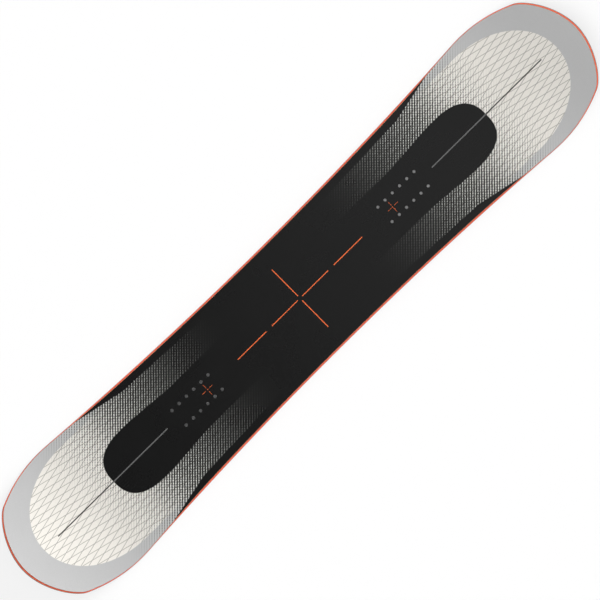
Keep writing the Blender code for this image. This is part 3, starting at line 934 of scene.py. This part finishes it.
def makeTipSpacers():
    def section(along):
        inside = tipSpacer["innerInset"]
        return roundedSection([(inside, coreBottom, 0), (inside, sidewallBottom, 0), *bevelledFace(along)],
                              closed=False)

    urethane = mouldedUrethane(tipSpacer)
    for end, sideX in boardEnds:
        bm = skin(section)
        saw(bm, (sideX * (layers["coreEnd"] + bond), 0, 0), (-sideX, 0, 0))
        wear(pressedPiece("moulded_tip_" + end, bm, urethane), "tip_spacer", "tip_spacer_" + end)


makeSidewalls()
makeTipSpacers()
print("sidewalls and tips trimmed")


# Steel edges and running base

steelEdge = {
    "railWidth": 2.0 * mm,
    "anchorInset": 6.5 * mm,
    "cornerRadius": 0.2 * mm,
    "steel": "#B4B6B8",
    "dulled": "#8F9193",
    "dulledSpan": (0.35, 0.7),
    "dulledShare": 0.5,
    "tintSize": 30.0,
    "scratchSize": (12.0, 0.15, 0.15),
    "roughness": (0.22, 0.36),
    "relief": (0.35, 0.01 * mm),
}
runningBase = {
    "colour": "#0E0E0F",
    "dryWax": "#2A2A2D",
    "dryWaxSpan": (0.4, 0.75),
    "waxSize": (220.0, 7.0, 7.0),
    "groovePitch": 1.2,
    "roughness": (0.36, 0.52),
    "relief": (0.4, 0.04 * mm),
}


def makeEdges():
    corner, rail, anchor = steelEdge["cornerRadius"], steelEdge["railWidth"], steelEdge["anchorInset"]

    def section(along):
        return roundedSection([
            (0, 0, corner),
            (0, edgeTop, corner),
            (anchor, edgeTop, 0),
            (anchor, anchorBottom, 0),
            (rail, anchorBottom, 0),
            (rail, 0, 0),
        ], closed=True)

    steel = groundSteel(steelEdge)
    for side, sideY in boardSides:
        bm = skin(section, hollow=True)
        halfOf(bm, sideY)
        wear(pressedPiece("ground_edge_" + side, bm, steel), "edge_steel", "steel_edge_" + side)


def makeBase():
    def section(along):
        inset = steelEdge["railWidth"] + bond
        return [(inset, 0), (inset, layers["base"])]

    wear(pressedPiece("sintered_base", skin(section), sinteredPolyethylene(runningBase)),
         "running_base", "base_sheet")


makeEdges()
makeBase()
print("edges and base ground")


# Resin at the bond lines, which fills what the side would show as gaps

resin = {
    "depth": 1.5 * mm,
    "overlap": 0.02 * mm,
    "shyness": 0.08 * mm,       # the bead sits this far inside its neighbours
    "clear": "#6E6450",
    "dusty": "#8C8470",
    "cloud": 5.0,
    "roughness": (0.2, 0.4),
    "relief": (0.2, 0.02 * mm),
}


def makeResin():
    def upright(along):
        return layers["edgeProud"]

    def underTopGlass(along):
        return bevelInset(along) + layers["topSetback"]

    def underTopsheet(along):
        return bevelInset(along) + 2 * layers["topSetback"]

    epoxy = curedEpoxy(resin)
    for label, low, high, face in (
        ("edge", edgeTop, foilBottom, upright),
        ("foil", foilTop, rimGlassBottom, upright),
        ("sidewall", rimGlassTop, sidewallBottom, upright),
        ("core", coreTop, topGlassBottom, underTopGlass),
        ("topsheet", topGlassTop, topsheetBottom, underTopsheet),
    ):
        low, high = low - resin["overlap"], high + resin["overlap"]

        def section(along):
            near = face(along) + resin["shyness"]
            far = near + resin["depth"]
            return [(near, low), (near, high), (far, high), (far, low)]

        wear(pressedPiece("resin_line_" + label, skin(section, hollow=True), epoxy), "glass_laminate")


makeResin()
print("bond lines filled")


# CAD nodes that keep their shape and get their finish

laminate = {"resinRich": "#8F8A66", "glassRich": "#C9C7A4", "rovingPitch": 1.4, "cloud": 8.0,
            "roughness": (0.25, 0.4), "relief": (0.3, 0.02 * mm)}
foil = {"black": "#161616", "bloom": "#242424", "imprintPitch": 0.4, "cloud": 2.0,
        "roughness": (0.7, 0.85), "relief": (0.2, 0.02 * mm)}
planed = {"ringLength": 300.0, "ringDepth": 20.0, "poreSize": (3.0, 0.2, 0.2), "poreSpan": (0.62, 0.72),
          "poreShare": 0.5, "roughness": (0.5, 0.62), "relief": (0.3, 0.03 * mm)}
poplar = {**planed, "early": "#D9C29A", "late": "#BFA273", "pore": "#8E744C", "ringWidth": 3.0}
beech = {**planed, "early": "#C79A6B", "late": "#A9784B", "pore": "#7A5433", "ringWidth": 2.2}


def finishNodes():
    glass, rubber = glassLaminate(laminate), calenderedRubber(foil)
    softStrip, hardStrip = planedWood("planed_poplar", poplar), planedWood("planed_beech", beech)
    for name, node in nodes.items():
        if name in ("bottom_glass", "top_glass"):
            finish = glass
        elif name.startswith("edge_foil"):
            finish = rubber
        elif name.endswith("insert_stringer"):
            finish = hardStrip
        elif name.startswith("core_"):
            finish = softStrip
        else:
            continue
        node.data.materials.clear()
        node.data.materials.append(finish)


finishNodes()
print("inner layers finished")


# Floor, light and camera

studio = {
    "paper": "#FBFBFB",
    "paperRoughness": 0.9,
    "fibre": 2.0,
    "tooth": (0.1, 0.05 * mm),
    "paperSize": 30.0,
    "paperDrop": 0.2 * mm,      # this far under the base, so that the two don't meet
    "ownWhite": 0.7,            # share of the paper's white that is seen and lights nothing
    "allWhite": (1200.0, 3500.0),  # it grows to all of it between these millimetres from the middle
    "around": 0.7,              # brightness of the room's walls
    "overhead": 0.023,          # and of its dark ceiling
    "ceilingEdge": (radians(63), radians(29)),
    "ceilingLean": radians(25),  # towards the nose
    # soft lamps: strength, angle from straight overhead towards the nose, and spread
    "key": (5.0, radians(78), radians(35)),
    "fill": (1.1, radians(-30), radians(46)),
    "lampHeight": 3.0,          # a sun lights the same from anywhere
    "panelPower": 4.27,
    "panelSize": (1.31, 2.4),
    "panelPlace": (0.653, 0, 3.2),
}
view = {
    "lens": 500.0,
    "sensor": 36.0,
    "turn": radians(-44.64),    # the board lies along the picture's rising diagonal
    "frameWidth": 1.183,        # metres across the picture, at the board's face
    "imageSize": 600,
    "boardCentre": (300.08, 298.22),
}


def seamlessPaper():
    # Background paper off the roll: matt and white, with a faint tooth.
    material, tree, inMm = newMaterial("seamless_paper", Specular_IOR_Level=0.0)
    fibre = addNode(tree, noise, {"Vector": inMm, "Scale": 1 / studio["fibre"], "Detail": 3.0})
    dress(tree, linear(studio["paper"]), studio["paperRoughness"], fibre, studio["tooth"])
    # the paper's own white is there only for rays that look at it
    ray = addNode(tree, "ShaderNodeLightPath")
    looks = unionOf(tree, [ray.outputs["Is Camera Ray"], ray.outputs["Is Glossy Ray"],
                           ray.outputs["Is Transmission Ray"]])
    away = addNode(tree, vectorMaths, [inMm], operation="LENGTH")
    share = addNode(tree, ramp, [away, *studio["allWhite"], studio["ownWhite"], 1.0],
                    interpolation_type="SMOOTHSTEP")
    share = addNode(tree, maths, [share, looks], operation="MULTIPLY")
    white = addNode(tree, "ShaderNodeEmission", {"Strength": 1.0})
    both = addNode(tree, "ShaderNodeMixShader", [share, tree.nodes["Principled BSDF"], white])
    feed(tree, both, tree.nodes["Material Output"].inputs["Surface"])
    return material


def makeFloor():
    bm = bmesh.new()
    bmesh.ops.create_grid(bm, x_segments=2, y_segments=2, size=studio["paperSize"] / 2)
    floor = addObject("paper_floor", meshFrom(bm, "paper_floor"))
    floor.data.materials.append(seamlessPaper())
    floor.location.z = -studio["paperDrop"]


def makeWorld():
    world = bpy.data.worlds.new("softbox_room")
    bpy.context.scene.world = world
    world.use_nodes = True
    tree = world.node_tree
    background = tree.nodes["Background"]
    background.inputs["Color"].default_value = (1, 1, 1, 1)
    lean = studio["ceilingLean"]
    where = addNode(tree, coordinates)
    up = addNode(tree, vectorMaths, [where.outputs["Generated"], (sin(lean), 0, cos(lean))],
                 operation="DOT_PRODUCT")
    wall, ceiling = studio["ceilingEdge"]
    level = addNode(tree, ramp, [up, cos(wall), cos(ceiling), studio["around"], studio["overhead"]],
                    interpolation_type="SMOOTHSTEP")
    feed(tree, level, background.inputs["Strength"])


def makeLamps():
    for name in ("key", "fill"):
        strength, angle, spread = studio[name]
        soft = bpy.data.lights.new(name, "SUN")
        soft.energy = strength
        soft.angle = spread
        lamp = addObject(name, soft)
        lamp.location.z = studio["lampHeight"]
        lamp.rotation_euler = (0, angle, 0)
        lamp.visible_glossy = False     # it shades the board and leaves no glare on the film
    panel = bpy.data.lights.new("panel", "AREA")
    panel.shape = "RECTANGLE"
    panel.size, panel.size_y = studio["panelSize"]
    panel.energy = studio["panelPower"]
    addObject("panel", panel).location = studio["panelPlace"]


def makeCamera():
    data = bpy.data.cameras.new("camera")
    data.lens = view["lens"]
    data.sensor_width = view["sensor"]
    data.clip_end = 100
    distance = view["frameWidth"] * view["lens"] / view["sensor"]
    turn = view["turn"]
    right, up = Vector((cos(turn), sin(turn))), Vector((-sin(turn), cos(turn)))
    # the camera stands aside by what puts the board's middle on its place in the picture
    perPixel = view["frameWidth"] / view["imageSize"]
    centreX, centreY = view["boardCentre"]
    aside = (view["imageSize"] / 2 - centreX) * perPixel
    upwards = (centreY - view["imageSize"] / 2) * perPixel
    stand = right * aside + up * upwards
    camera = addObject("camera", data)
    camera.location = (stand.x, stand.y, topsheetTop + distance)
    camera.rotation_euler = (0, 0, turn)
    bpy.context.scene.camera = camera


makeFloor()
makeWorld()
makeLamps()
makeCamera()
bpy.context.scene.view_settings.view_transform = "Standard"
print("floor, light and camera set")
